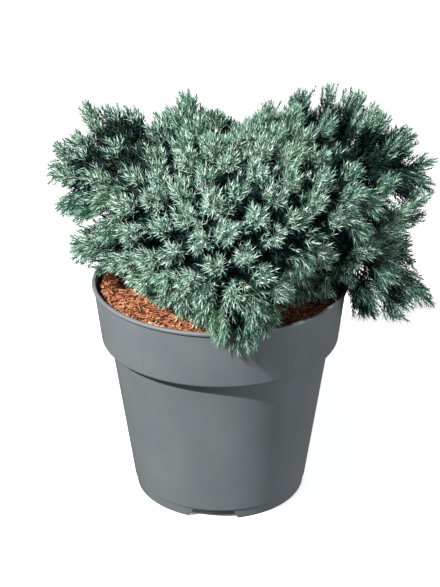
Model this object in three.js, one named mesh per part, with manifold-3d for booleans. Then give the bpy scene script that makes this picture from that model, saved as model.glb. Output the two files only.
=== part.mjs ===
// Potted blue star juniper: a low, dense, blue-green conifer in a round grey nursery container.
// Millimetres, +Z up, and -Y is the side that faces the viewer. The origin is on the ground,
// under the middle of the pot.

import * as THREE from "three";
import { mergeVertices } from "three/addons/utils/BufferGeometryUtils.js";
import Module from "manifold-3d";

const wasm = await Module();
wasm.setup();

// Driving dimensions of the pot
const POT_HEIGHT = 249;
const RIM_RADIUS = 140;
const WALL = 2.6;
const LIP_HEIGHT = 4;
const LIP_PROUD = 1.6;
const COLLAR_BOTTOM = 182; // height of the step where the wide collar ends
const COLLAR_FOOT_RADIUS = 131;
const BODY_TOP_RADIUS = 121.5;
const FOOT_RADIUS = 95.5;
const FOOT_LINE = 12; // height of the fine ledge round the foot
const FOOT_TOP_RADIUS = 97;
const FOOT_LEDGE = 1.1;
const BASE_UNDERSIDE = 12.5;
const CENTRE_PAD_RADIUS = 30; // the flat middle of the underside, level with the foot ring
const CORNER = 2; // slope or chamfer where two faces of the pot meet
const POT_SIDES = 24;
const FACET_TURN_DEG = 4; // keeps the facets' edges off the X and Y axes
const NOTCH_COUNT = 3;
const NOTCH_FIRST_DEG = -94.5;
const NOTCH_WIDTH_LOW = 55;
const NOTCH_WIDTH_HIGH = 44;
const NOTCH_HEIGHT = 11;
const NOTCH_DEPTH = 26; // how far the cut runs inwards and outwards through the foot ring
const GAP = 0.3; // clearance between touching pieces

// Driving dimensions of the filling
const SOIL_TOP = 230;
const MULCH_LOW = 238;
const MULCH_HIGH = 243.5;
const MULCH_RINGS = 4;
const TRUNK_HOLE_RADIUS = 22.6; // opening in the mulch round the root flare

// Driving dimensions of the plant
const TRUNK_TOP = 320;
const TRUNK_FOOT_RADIUS = 13;
const TRUNK_TOP_RADIUS = 8.5;
const TRUNK_FLARE = 0.55; // added at the foot, as a share of the radius
const TRUNK_FLARE_FADE = 9;
const TRUNK_RIBS = 5;
const TRUNK_RIB_DEPTH = 0.2;
const TRUNK_LEAN = new THREE.Vector3(9, 3, 0);
const BOUGH_FOOT_RADIUS = 3.4;
const BOUGH_TIP_RADIUS = 2.3;
const BOUGH_STAGGER = 0.08; // as a share of the trunk's height
const BOUGH_RISE = 0.35; // slope at which a bough leaves the trunk
const BOUGH_LEAVE = 0.42; // how far it keeps that slope, as a share of its span
const BOUGH_ARRIVE = 0.3; // how far it runs straight into its mass
const BOUGH_ROOM = 1; // clearance cut round a bough that passes through a core
const STEM_TIP_RADIUS = 1.4;

// The crown's outline: a dome round CROWN_CENTRE with named swellings and hollows, each one
// told by its heading and width in degrees and its height in millimetres
const CROWN_CENTRE = new THREE.Vector3(18, 2, 318);
const CROWN_REACH = { side: 157, front: 141, up: 104, down: 101 };
const SWELLINGS = [
  { name: "right_middle", azimuth: 8, elevation: 7, width: 18, height: 36 },
  { name: "right_shoulder", azimuth: 13, elevation: 22, width: 19, height: 39 },
  { name: "right_peak", azimuth: 33, elevation: 44, width: 16, height: 50 },
  { name: "apex", azimuth: 61, elevation: 61, width: 11, height: 23 },
  { name: "saddle", azimuth: 82, elevation: 59, width: 24, height: -30 },
  { name: "middle_peak", azimuth: 131, elevation: 58, width: 15, height: 31 },
  { name: "left_dip", azimuth: 149, elevation: 46, width: 9, height: -21 },
  { name: "left_crest", azimuth: 157, elevation: 35, width: 14, height: 44 },
  { name: "left_corner", azimuth: 173, elevation: 17, width: 21, height: 46 },
  { name: "left_middle", azimuth: -174, elevation: -16, width: 11, height: 34 },
  { name: "left_foot", azimuth: 178, elevation: -27, width: 23, height: -24 },
  { name: "bare_mulch", azimuth: -149, elevation: -21, width: 24, height: -16 },
  { name: "mulch_edge", azimuth: -121, elevation: -25, width: 12, height: -5 },
  { name: "front_drape", azimuth: -88, elevation: -22, width: 15, height: 40 },
  { name: "right_notch", azimuth: -47, elevation: -19, width: 19, height: -50 },
  { name: "right_hollow", azimuth: -8, elevation: -10, width: 10, height: -30 },
  { name: "right_skirt", azimuth: -9, elevation: -25, width: 16, height: 84 },
  { name: "back_left", azimuth: 118, elevation: 2, width: 30, height: 22 },
  { name: "back_right", azimuth: 62, elevation: -4, width: 28, height: 26 },
];

// Dark gaps between the boughs, told the same way with their depth
const POCKETS = [
  { name: "right_gap", azimuth: -10, elevation: 37, width: 9, height: -26 },
  { name: "right_gap_low", azimuth: -2, elevation: 23, width: 7, height: -18 },
  { name: "right_face_gap", azimuth: -38, elevation: 25, width: 7, height: -14 },
  { name: "middle_gap", azimuth: -67, elevation: 23, width: 8, height: -16 },
  { name: "middle_gap_high", azimuth: -92, elevation: 30, width: 7, height: -12 },
  { name: "front_gap", azimuth: -93, elevation: 1, width: 8, height: -24 },
  { name: "front_gap_right", azimuth: -71, elevation: 5, width: 9, height: -28 },
  { name: "low_gap_right", azimuth: -52, elevation: 10, width: 8, height: -20 },
  { name: "low_gap_left", azimuth: -127, elevation: 0, width: 8, height: -16 },
  { name: "left_face_gap", azimuth: -111, elevation: 13, width: 7, height: -12 },
  { name: "left_valley", azimuth: -158, elevation: 36, width: 10, height: -18 },
  { name: "left_valley_low", azimuth: -139, elevation: 20, width: 7, height: -10 },
];

// The tips that stand furthest out of the outline, by azimuth and elevation in degrees
const LEADING_TIPS = [
  { name: "right_end", azimuth: 7, elevation: 9 },
  { name: "right_upper", azimuth: 13, elevation: 24 },
  { name: "right_crest", azimuth: 25, elevation: 39 },
  { name: "summit", azimuth: 37, elevation: 45 },
  { name: "back_summit", azimuth: 43, elevation: 53 },
  { name: "middle_top", azimuth: 136, elevation: 57 },
  { name: "left_crest", azimuth: 160, elevation: 32 },
  { name: "left_corner", azimuth: 171, elevation: 20 },
  { name: "left_side", azimuth: 176, elevation: 12 },
  { name: "left_end", azimuth: -179, elevation: 3 },
  { name: "left_low", azimuth: -174, elevation: -12 },
  { name: "skirt_end", azimuth: -6, elevation: -23 },
  { name: "skirt_low", azimuth: -18, elevation: -32 },
  { name: "drape_right", azimuth: -86, elevation: -27 },
];

// Masses of foliage, in tiers round the trunk. Angles are in degrees, and boughHeight is the
// share of the trunk's height where a tier's boughs start.
const TIERS = [
  { name: "skirt", count: 9, elevation: -15, firstAzimuth: -88, boughHeight: 0.22 },
  { name: "shoulder", count: 8, elevation: 20, firstAzimuth: -108, boughHeight: 0.54 },
  { name: "top", count: 5, elevation: 60, firstAzimuth: -130, boughHeight: 0.8 },
];
const AZIMUTH_SWAY = 5;
const AXIS_LIFT = 0.15; // how much a mass's axis turns up from the crown's radius
const MASS_MIDDLE = 0.52; // place of a mass's middle between its root and the surface
const ROOT_ABOVE_FLOOR = 8;
const MASS_DEPTH = 96; // from a mass's root to the crown's surface, at most
const MASS_DEPTH_SHARE = 0.6; // the same as a share of the crown's reach
const MASS_SPACING = 1.2; // clear width between neighbouring masses
const POT_CLEARANCE = 1.5;
const RIM_ZONE = 9; // width inside the rim where foliage stays above it
const LOWEST_TIP = 212;
const CORE_SETBACK = 13; // how far the dense core stays under the crown's surface
const CORE_RADIUS = 64;
const CORE_FLOOR = 251;
const CORE_LEAST = 6;
const CREASE = 5; // clear width between neighbouring cores

// Shoots, dealt over the whole crown's surface by the golden angle
const SHOOT_COUNT = 198;
const LOWEST_SHOOT_RISE = -0.62; // sine of the lowest shoot's elevation
const RISE_POWER = 0.8; // under 1 the top gets fewer shoots than the wide sides
const SHOOT_LENGTH = 46;
const SHOOT_LEAST = 17;
const SHOOT_SCALES = [1, 0.72]; // the larger one that fits is grown
const SHOOT_SUNK = 8; // depth of a shoot's root in the core
const SHOOT_RADIUS = 2.6;
const NEEDLE_SPREAD = 12; // from the shoot's middle line to the needle tips
const NEEDLE_FORWARD = 10;
const FAN_SHARE = 0.4; // how much shoots fan out from their mass, and not from the crown
const SHOOT_LIFTS = { low: 0, high: 0.55 }; // how much low and high shoots turn up
const SHOOT_DROOP = 0.55; // how much shoots beyond the rim turn down
const TWIG_RADIUS = 2;
const TWIG_OVERLAP = 4; // how far a twig's end runs into its shoot
const TWIG_CLEARANCE = 2.5; // least distance from a needle to a bough's side
const SLACK = { least: 4, most: 14 }; // how far a shoot's tip stands out of the outline
const WHORLS = { low: 0.18, high: 0.5 }; // places of the two whorls along a shoot
const WHORL_WIDTHS = { low: 1.05, high: 0.75 };
const SEED = 45;
const GOLDEN_ANGLE = Math.PI * (3 - Math.sqrt(5));

// Colours
const POT_GREY = { color: 0x74797b, roughness: 0.55, metalness: 0 };
const SOIL_BROWN = { color: 0x3b2a1f, roughness: 1, metalness: 0 };
const MULCH_ORANGE = { color: 0xa8673d, roughness: 0.95, metalness: 0 };
const BARK_BROWN = { color: 0x6d5140, roughness: 0.9, metalness: 0 };
const NEEDLE_BLUE = { color: 0x7fa79b, roughness: 0.6, metalness: 0 };

const UP = new THREE.Vector3(0, 0, 1);
const BUILT_ALONG = new THREE.Vector3(0, 1, 0);
const rad = THREE.MathUtils.degToRad;
const lerp = THREE.MathUtils.lerp;

// A repeatable stream of numbers between 0 and 1
function seeded(seed) {
  let state = seed % 2147483647;
  return () => {
    state = (state * 48271) % 2147483647;
    return state / 2147483647;
  };
}

function solidOf(geometry) {
  const bare = geometry.clone();
  bare.deleteAttribute("normal");
  bare.deleteAttribute("uv");
  const merged = mergeVertices(bare, 1e-4);
  return new wasm.Manifold(
    new wasm.Mesh({
      numProp: 3,
      vertProperties: merged.attributes.position.array,
      triVerts: new Uint32Array(merged.index.array),
    }),
  );
}

function geometryOf(solid) {
  const mesh = solid.getMesh();
  const geometry = new THREE.BufferGeometry();
  const position = new THREE.BufferAttribute(mesh.vertProperties, 3);
  geometry.setAttribute("position", position);
  geometry.setIndex(new THREE.BufferAttribute(mesh.triVerts, 1));
  geometry.computeVertexNormals();
  return geometry;
}

function named(name, geometry, look) {
  const mesh = new THREE.Mesh(geometry, new THREE.MeshStandardMaterial(look));
  mesh.name = name;
  return mesh;
}

// A profile of [radius, height] pairs turned round the Z axis
function turned(profile, sides) {
  const points = profile.map(([radius, height]) => new THREE.Vector2(radius, height));
  return new THREE.LatheGeometry(points, sides).rotateX(Math.PI / 2).rotateZ(rad(FACET_TURN_DEG));
}

// A tapering limb: an upright cylinder whose rings are carried along a curve
function limb(curve, radiusAt, sides, steps) {
  const geometry = new THREE.CylinderGeometry(1, 1, 1, sides, steps);
  const frames = curve.computeFrenetFrames(steps);
  const position = geometry.attributes.position;
  for (let i = 0; i < position.count; i++) {
    const t = position.getY(i) + 0.5;
    const step = Math.round(t * steps);
    const angle = Math.atan2(position.getZ(i), position.getX(i));
    const radius = Math.hypot(position.getX(i), position.getZ(i)) * radiusAt(t, angle);
    const point = curve
      .getPointAt(t)
      .addScaledVector(frames.normals[step], radius * Math.cos(angle))
      .addScaledVector(frames.binormals[step], -radius * Math.sin(angle));
    position.setXYZ(i, point.x, point.y, point.z);
  }
  return geometry;
}

// The pot's wall radius outside and inside at a height within the collar
const collarRadius = (z) =>
  lerp(COLLAR_FOOT_RADIUS, RIM_RADIUS - LIP_PROUD, (z - COLLAR_BOTTOM) / (POT_HEIGHT - COLLAR_BOTTOM));
const collarInside = (z) => collarRadius(z) - WALL;

function potGeometry() {
  const lipBottom = POT_HEIGHT - LIP_HEIGHT;
  const profile = [
    [0, 0],
    [CENTRE_PAD_RADIUS, 0],
    [CENTRE_PAD_RADIUS + CORNER, BASE_UNDERSIDE],
    [FOOT_RADIUS - WALL - CORNER, BASE_UNDERSIDE],
    [FOOT_RADIUS - WALL - 1, 0],
    [FOOT_RADIUS, 0],
    [FOOT_TOP_RADIUS, FOOT_LINE],
    [FOOT_TOP_RADIUS + FOOT_LEDGE, FOOT_LINE + FOOT_LEDGE / 2],
    [BODY_TOP_RADIUS, COLLAR_BOTTOM],
    [COLLAR_FOOT_RADIUS - CORNER, COLLAR_BOTTOM],
    [COLLAR_FOOT_RADIUS, COLLAR_BOTTOM + CORNER],
    [collarRadius(lipBottom), lipBottom],
    [RIM_RADIUS, lipBottom + LIP_PROUD / 2],
    [RIM_RADIUS, POT_HEIGHT],
    [collarInside(POT_HEIGHT), POT_HEIGHT],
    [collarInside(COLLAR_BOTTOM + WALL), COLLAR_BOTTOM + WALL],
    [BODY_TOP_RADIUS - WALL, COLLAR_BOTTOM - CORNER],
    [FOOT_TOP_RADIUS - WALL, BASE_UNDERSIDE + WALL],
    [0, BASE_UNDERSIDE + WALL],
  ];
  let pot = solidOf(turned(profile, POT_SIDES));
  for (let i = 0; i < NOTCH_COUNT; i++) {
    const turn = rad(NOTCH_FIRST_DEG + (360 * i) / NOTCH_COUNT);
    pot = pot.subtract(notchCutter(turn));
  }
  return geometryOf(pot);
}

// A drain notch under the foot: a trapezium pushed outwards through the foot ring
function notchCutter(turn) {
  const outline = new THREE.Shape([
    new THREE.Vector2(-NOTCH_WIDTH_LOW / 2, -1),
    new THREE.Vector2(NOTCH_WIDTH_LOW / 2, -1),
    new THREE.Vector2(NOTCH_WIDTH_HIGH / 2, NOTCH_HEIGHT),
    new THREE.Vector2(-NOTCH_WIDTH_HIGH / 2, NOTCH_HEIGHT),
  ]);
  const cutter = new THREE.ExtrudeGeometry(outline, { depth: NOTCH_DEPTH, bevelEnabled: false });
  cutter.rotateX(Math.PI / 2).rotateZ(turn + Math.PI / 2);
  const start = FOOT_RADIUS - 0.65 * NOTCH_DEPTH;
  cutter.translate(start * Math.cos(turn), start * Math.sin(turn), 0);
  return solidOf(cutter);
}

function soilGeometry() {
  const low = BASE_UNDERSIDE + WALL + GAP;
  const clear = WALL + 2 * GAP;
  return turned(
    [
      [0, low],
      [FOOT_TOP_RADIUS - clear, low],
      [BODY_TOP_RADIUS - clear, COLLAR_BOTTOM - CORNER],
      [collarRadius(COLLAR_BOTTOM + WALL) - clear, COLLAR_BOTTOM + WALL + 2 * GAP],
      [collarRadius(SOIL_TOP) - clear, SOIL_TOP],
      [0, SOIL_TOP],
    ],
    POT_SIDES,
  );
}

// Coarse bark over the soil: a ring with an uneven top, open in the middle for the trunk
function mulchGeometry() {
  const low = SOIL_TOP + GAP;
  const outside = (z) => collarRadius(z) - WALL - 2 * GAP;
  const top = [];
  for (let i = 0; i <= MULCH_RINGS; i++) {
    const share = i / MULCH_RINGS;
    top.push([lerp(outside(MULCH_LOW), TRUNK_HOLE_RADIUS, share), MULCH_LOW]);
  }
  const inner = [TRUNK_HOLE_RADIUS, low];
  const profile = [inner, [outside(low), low], ...top, inner];
  const geometry = turned(profile, POT_SIDES);
  const merged = mergeVertices(geometry.deleteAttribute("normal").deleteAttribute("uv"), 1e-3);
  const random = seeded(SEED);
  const position = merged.attributes.position;
  for (let i = 0; i < position.count; i++) {
    const radius = Math.hypot(position.getX(i), position.getY(i));
    const free = radius < outside(MULCH_LOW) - 1 && position.getZ(i) > low + 1;
    if (free) position.setZ(i, lerp(MULCH_LOW, MULCH_HIGH, random()));
  }
  return merged;
}

// The unit vector of an azimuth and an elevation in degrees
function heading(azimuth, elevation) {
  const flat = Math.cos(rad(elevation));
  return new THREE.Vector3(
    flat * Math.cos(rad(azimuth)),
    flat * Math.sin(rad(azimuth)),
    Math.sin(rad(elevation)),
  );
}

const bumps = [...SWELLINGS, ...POCKETS].map(({ azimuth, elevation, width, height }) => {
  return { direction: heading(azimuth, elevation), width: rad(width), height };
});

// How far the crown's surface lies from its centre in a direction
function crownReach(direction) {
  const { side, front, up, down } = CROWN_REACH;
  const tall = direction.z > 0 ? up : down;
  let reach = 1 / Math.hypot(direction.x / side, direction.y / front, direction.z / tall);
  for (const bump of bumps) {
    const apart = direction.angleTo(bump.direction) / bump.width;
    reach += bump.height * Math.exp(-apart * apart);
  }
  return reach;
}

// One mass of a tier: its middle, its outward axis, and the root where its stem starts
function massAt(tier, index, azimuth) {
  const outwards = heading(azimuth, tier.elevation);
  const reach = crownReach(outwards);
  const depth = Math.min(MASS_DEPTH, MASS_DEPTH_SHARE * reach);
  const top = CROWN_CENTRE.clone().addScaledVector(outwards, reach);
  const axis = outwards.clone().addScaledVector(UP, AXIS_LIFT).normalize();
  const root = top.clone().addScaledVector(outwards, -depth);
  root.z = Math.max(root.z, CORE_FLOOR + ROOT_ABOVE_FLOOR);
  const centre = root.clone().lerp(top, MASS_MIDDLE);
  return { label: tier.name + "_" + (index + 1), tier, index, axis, root, centre };
}

function massPlaces() {
  const random = seeded(SEED);
  return TIERS.flatMap((tier) =>
    Array.from({ length: tier.count }, (_, index) => {
      const sway = AZIMUTH_SWAY * (2 * random() - 1);
      return massAt(tier, index, tier.firstAzimuth + (360 * index) / tier.count + sway);
    }),
  );
}

const masses = massPlaces();

// The clear width between a point and the nearest wall of its mass's own space. The walls stand
// halfway to the neighbouring masses and across the root.
function wallRoom(mass, point) {
  let room = point.clone().sub(mass.root).dot(mass.axis) - GAP;
  for (const other of masses) {
    if (other === mass) continue;
    const across = other.centre.clone().sub(mass.centre);
    const middle = mass.centre.clone().add(other.centre).multiplyScalar(0.5);
    room = Math.min(room, middle.sub(point).dot(across) / across.length());
  }
  return room;
}

// How far a point lies under the crown's surface
function depthUnderSurface(point) {
  const fromCentre = point.clone().sub(CROWN_CENTRE);
  return crownReach(fromCentre.clone().normalize()) - fromCentre.length();
}

// Whether a point stays off the rim, the collar and the mulch
function clearOfPot(point) {
  const radius = Math.hypot(point.x, point.y);
  if (radius < RIM_RADIUS - RIM_ZONE) return point.z > MULCH_HIGH + POT_CLEARANCE;
  if (radius < RIM_RADIUS + POT_CLEARANCE) return point.z > POT_HEIGHT + POT_CLEARANCE;
  return point.z > LOWEST_TIP;
}

function inSpace(mass, point, slack) {
  if (wallRoom(mass, point) < MASS_SPACING / 2) return false;
  return depthUnderSurface(point) > -slack && clearOfPot(point);
}

const trunkCurve = new THREE.QuadraticBezierCurve3(
  new THREE.Vector3(0, 0, SOIL_TOP + GAP),
  new THREE.Vector3(0, 0, lerp(SOIL_TOP, TRUNK_TOP, 0.5)),
  new THREE.Vector3(TRUNK_LEAN.x, TRUNK_LEAN.y, TRUNK_TOP),
);

// The trunk's radius: a taper with a ribbed root flare at its foot
function trunkRadius(t, angle) {
  const taper = lerp(TRUNK_FOOT_RADIUS, TRUNK_TOP_RADIUS, t);
  const flare = TRUNK_FLARE * Math.exp(-t * TRUNK_FLARE_FADE);
  return taper * (1 + flare * (1 + TRUNK_RIB_DEPTH * Math.cos(TRUNK_RIBS * angle)));
}

function trunkGeometry(extra = 0) {
  return limb(trunkCurve, (t, angle) => trunkRadius(t, angle) + extra, 10, 5);
}

// A bough leaves the trunk towards its mass, every other one of a tier a little higher
function boughCurve(mass) {
  const height = mass.tier.boughHeight + BOUGH_STAGGER * (mass.index % 2);
  const foot = trunkCurve.getPointAt(height);
  const tip = mass.root.clone().addScaledVector(mass.axis, -GAP);
  const span = tip.distanceTo(foot);
  const sideways = new THREE.Vector3(mass.axis.x, mass.axis.y, BOUGH_RISE).normalize();
  const leave = foot.clone().addScaledVector(sideways, BOUGH_LEAVE * span);
  const arrive = tip.clone().addScaledVector(mass.axis, -BOUGH_ARRIVE * span);
  return new THREE.CubicBezierCurve3(foot, leave, arrive, tip);
}

const boughRadius = (t) => lerp(BOUGH_FOOT_RADIUS, BOUGH_TIP_RADIUS, t);

function boughSolid(mass, extra = 0) {
  return solidOf(limb(boughCurve(mass), (t) => boughRadius(t) + extra, 5, 3));
}

// Places on the boughs' middle lines, for keeping twigs clear of them
const boughPoints = masses.flatMap((mass) => boughCurve(mass).getSpacedPoints(12).slice(1, -1));
const clearOfBoughs = (point) =>
  boughPoints.every((place) => place.distanceTo(point) > BOUGH_FOOT_RADIUS + TWIG_CLEARANCE);

// The dense middle of a mass: a lumpy ball pulled out to the walls of the mass's space
function coreSolid(mass, random) {
  const ball = new THREE.IcosahedronGeometry(1, 1);
  const merged = mergeVertices(ball.deleteAttribute("normal").deleteAttribute("uv"), 1e-4);
  const position = merged.attributes.position;
  const direction = new THREE.Vector3();
  for (let i = 0; i < position.count; i++) {
    direction.fromBufferAttribute(position, i).normalize();
    const radius = coreReach(mass, direction, CORE_SETBACK * lerp(0.75, 1.35, random()));
    position.setXYZ(i, ...mass.centre.clone().addScaledVector(direction, radius).toArray());
  }
  let core = solidOf(merged);
  const box = new THREE.Box3().setFromBufferAttribute(position);
  for (const other of masses) {
    if (other === mass) continue;
    const places = boughCurve(other).getSpacedPoints(12);
    const isNear = places.some((place) => box.containsPoint(place));
    if (isNear) core = core.subtract(boughSolid(other, BOUGH_ROOM));
  }
  return core;
}

// How far the core runs from its mass's middle in a direction
function coreReach(mass, direction, setback) {
  const fits = (place) =>
    wallRoom(mass, place) > CREASE / 2 &&
    depthUnderSurface(place) > setback &&
    place.z > CORE_FLOOR;
  const free = freeLength(fits, mass.centre, direction);
  return THREE.MathUtils.clamp(free, CORE_LEAST, CORE_RADIUS);
}

// How far a straight line runs from its start before a test of its places fails
function freeLength(fits, start, direction) {
  const step = 1.5;
  let length = 0;
  const place = start.clone();
  while (length < MASS_DEPTH && fits(place)) {
    length += step;
    place.copy(start).addScaledVector(direction, length);
  }
  return length - step;
}

// Carries a geometry built upright on +Y to a base point and turns it along a direction
function pointed(geometry, base, direction) {
  geometry.applyQuaternion(new THREE.Quaternion().setFromUnitVectors(BUILT_ALONG, direction));
  return geometry.translate(base.x, base.y, base.z);
}

// A shoot: a slim six-sided spike, out of which whorls of three needles stand forwards
function shootGeometry(base, direction, length, turn, scale) {
  const geometry = new THREE.ConeGeometry(SHOOT_RADIUS, length, 6, 3);
  geometry.rotateY(turn).translate(0, length / 2, 0);
  const position = geometry.attributes.position;
  for (let i = 0; i < position.count; i++) {
    const whorl = Math.round((position.getY(i) / length) * 3);
    if (whorl === 0 || whorl === 3) continue;
    const angle = Math.atan2(position.getX(i), position.getZ(i)) - turn;
    const side = Math.round(angle / (Math.PI / 3)) + whorl;
    const isNeedle = side % 2 === 0;
    const spread = scale * NEEDLE_SPREAD * (whorl === 1 ? WHORL_WIDTHS.low : WHORL_WIDTHS.high);
    const radius = isNeedle ? spread : 0.85 * SHOOT_RADIUS;
    const forward = isNeedle ? scale * NEEDLE_FORWARD : 0;
    const height = (whorl === 1 ? WHORLS.low : WHORLS.high) * length + forward;
    const facing = angle + turn;
    position.setXYZ(i, radius * Math.sin(facing), height, radius * Math.cos(facing));
  }
  return pointed(geometry, base, direction);
}

// The three-sided twig that carries a shoot from the mass's stem
function twigGeometry(start, direction, length) {
  const geometry = new THREE.ConeGeometry(TWIG_RADIUS, length, 3);
  return pointed(geometry.translate(0, length / 2, 0), start, direction);
}

function staysIn(mass, geometry, slack) {
  const position = geometry.attributes.position;
  const corner = new THREE.Vector3();
  for (let i = 0; i < position.count; i++) {
    corner.fromBufferAttribute(position, i);
    if (!inSpace(mass, corner, slack + 3) || !clearOfBoughs(corner)) return false;
  }
  return true;
}

// Places for the tips of the shoots: the leading ones, and others spread evenly over the crown
function shootTips() {
  const random = seeded(SEED);
  const leading = LEADING_TIPS.map(({ azimuth, elevation }, index) =>
    tipAt(heading(azimuth, elevation), index * GOLDEN_ANGLE, SLACK.most),
  );
  const others = Array.from({ length: SHOOT_COUNT }, (_, index) => {
    const share = (index + 0.5) / SHOOT_COUNT;
    const rise = lerp(1, LOWEST_SHOOT_RISE, share ** RISE_POWER);
    const flat = Math.sqrt(1 - rise * rise);
    const turn = index * GOLDEN_ANGLE;
    const outwards = new THREE.Vector3(flat * Math.cos(turn), flat * Math.sin(turn), rise);
    return tipAt(outwards, turn, lerp(SLACK.least, SLACK.most, random()));
  });
  return [...leading, ...others];
}

// A tip that stands out of the crown's surface by its slack, and the mass that it belongs to
function tipAt(outwards, turn, slack) {
  const place = outwards.clone().multiplyScalar(crownReach(outwards) + slack).add(CROWN_CENTRE);
  const distances = masses.map((mass) => mass.centre.distanceTo(place));
  return { place, turn, slack, owner: masses[distances.indexOf(Math.min(...distances))] };
}

// One shoot of a mass: where its root and tip lie. Shoots turn up towards the light, apart
// from low ones beyond the rim, which hang.
function shootPlace(mass, { place, slack }, scale) {
  const inside = (spot) => inSpace(mass, spot, slack + 0.5);
  const straight = place.clone().sub(mass.centre).normalize();
  const tip = place.clone();
  if (!inside(tip)) {
    tip.copy(mass.centre).addScaledVector(straight, freeLength(inside, mass.centre, straight));
  }
  const outwards = tip.clone().sub(CROWN_CENTRE).normalize();
  const hangs = tip.z < mass.centre.z && Math.hypot(tip.x, tip.y) > RIM_RADIUS;
  const height = THREE.MathUtils.clamp(outwards.z + 0.4, 0, 1);
  const lift = hangs ? -SHOOT_DROOP : lerp(SHOOT_LIFTS.low, SHOOT_LIFTS.high, height);
  const direction = outwards.lerp(straight, FAN_SHARE).addScaledVector(UP, lift).normalize();
  const exposed = tip.distanceTo(mass.centre) - coreReach(mass, straight, CORE_SETBACK);
  const length = Math.min(scale * SHOOT_LENGTH, exposed + SHOOT_SUNK);
  const root = tip.clone().addScaledVector(direction, -length);
  return { root, direction, length };
}

// A shoot and the twig that carries it, or nothing where no size of shoot fits
function shootSolids(mass, target) {
  for (const scale of SHOOT_SCALES) {
    const { root, direction, length } = shootPlace(mass, target, scale);
    if (length < SHOOT_LEAST) continue;
    const shoot = shootGeometry(root, direction, length, target.turn, scale);
    if (!staysIn(mass, shoot, target.slack)) continue;
    const along = root.addScaledVector(direction, TWIG_OVERLAP).sub(mass.centre);
    const twig = twigGeometry(mass.centre, along.clone().normalize(), along.length());
    return [solidOf(twig), solidOf(shoot)];
  }
  return [];
}

function massGeometry(mass) {
  const random = seeded(SEED * (masses.indexOf(mass) + 2));
  const stemLine = new THREE.LineCurve3(mass.root, mass.centre);
  const stem = limb(stemLine, (t) => lerp(BOUGH_TIP_RADIUS, STEM_TIP_RADIUS, t), 5, 1);
  const targets = allTips.filter((target) => target.owner === mass);
  const shoots = targets.flatMap((target) => shootSolids(mass, target));
  const parts = [solidOf(stem), coreSolid(mass, random), ...shoots];
  const fused = wasm.Manifold.union(parts).decompose();
  fused.sort((a, b) => b.volume() - a.volume());
  return geometryOf(fused[0]);
}

const allTips = shootTips();
const juniper = new THREE.Group();
const trunkRoom = solidOf(trunkGeometry(GAP));
juniper.add(named("pot", potGeometry(), POT_GREY));
juniper.add(named("root_ball", soilGeometry(), SOIL_BROWN));
juniper.add(named("bark_mulch", mulchGeometry(), MULCH_ORANGE));
juniper.add(named("trunk", trunkGeometry(), BARK_BROWN));
for (const mass of masses) {
  const bough = geometryOf(boughSolid(mass).subtract(trunkRoom));
  juniper.add(named("bough_" + mass.label, bough, BARK_BROWN));
  juniper.add(named("foliage_" + mass.label, massGeometry(mass), NEEDLE_BLUE));
}

export default juniper;
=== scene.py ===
"""Potted blue star juniper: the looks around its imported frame.

A dense, low, blue-green conifer grows in a round grey nursery pot with bark mulch on top.
The crown follows the rule of the frame's own source: masses of foliage in tiers, whose shoots
are dealt over the crown's surface by the golden angle. Here each shoot becomes a spray of
twigs with whorls of three awl-shaped needles. Lengths in the rule are in millimetres.
"""

import math

import bpy
import numpy as np
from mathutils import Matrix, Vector


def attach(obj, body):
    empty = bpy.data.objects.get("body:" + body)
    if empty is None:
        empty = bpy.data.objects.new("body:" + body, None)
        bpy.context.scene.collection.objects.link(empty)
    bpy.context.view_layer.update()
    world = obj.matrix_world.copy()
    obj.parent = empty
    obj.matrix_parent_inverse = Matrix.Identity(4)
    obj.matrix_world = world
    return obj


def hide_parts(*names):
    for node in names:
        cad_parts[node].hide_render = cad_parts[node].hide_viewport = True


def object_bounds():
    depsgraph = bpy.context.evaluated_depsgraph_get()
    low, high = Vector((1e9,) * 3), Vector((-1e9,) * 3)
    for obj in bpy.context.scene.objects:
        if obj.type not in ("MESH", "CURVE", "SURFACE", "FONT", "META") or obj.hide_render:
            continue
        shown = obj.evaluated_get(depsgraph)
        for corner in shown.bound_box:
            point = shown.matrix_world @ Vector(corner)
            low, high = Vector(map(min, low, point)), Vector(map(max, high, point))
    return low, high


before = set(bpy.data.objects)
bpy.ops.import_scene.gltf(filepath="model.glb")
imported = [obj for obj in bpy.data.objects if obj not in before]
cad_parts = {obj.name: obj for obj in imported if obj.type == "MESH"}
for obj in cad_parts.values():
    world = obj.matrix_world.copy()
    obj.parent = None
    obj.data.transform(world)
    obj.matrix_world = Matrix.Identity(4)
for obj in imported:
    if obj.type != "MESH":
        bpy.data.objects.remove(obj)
cad_box = [list(corner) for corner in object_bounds()]

MM = 0.001
SEED = 45
GOLDEN_ANGLE = math.pi * (3 - math.sqrt(5))
UP = np.array([0.0, 0.0, 1.0])

# Pot
POT_HEIGHT = 249.0
RIM_RADIUS = 140.0
WALL = 2.6
LIP_HEIGHT = 4.0
LIP_PROUD = 1.6
COLLAR_BOTTOM = 182.0
COLLAR_FOOT_RADIUS = 131.0
BODY_TOP_RADIUS = 121.5
FOOT_RADIUS = 95.5
FOOT_LINE = 12.0
FOOT_TOP_RADIUS = 97.0
FOOT_LEDGE = 1.1
FOOT_LEDGE_LEAN = 0.25
FOOT_LEDGE_TOP = 2.2
BASE_UNDERSIDE = 12.5
CENTRE_PAD_RADIUS = 30.0
CORNER = 2.0
LIP_CHAMFER = 1.2
NOTCH_COUNT = 3
NOTCH_FIRST_DEG = -94.5
NOTCH_WIDTH_LOW = 55.0
NOTCH_WIDTH_HIGH = 44.0
NOTCH_HEIGHT = 11.0
NOTCH_DEPTH = 26.0
NOTCH_INWARDS = 0.65
NOTCH_CORNER = 1.0
NOTCH_BELOW_GROUND = 1.0
POT_STEPS = 200
CORNER_STEPS = 5
SHARP_EDGE_DEG = 32

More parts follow.
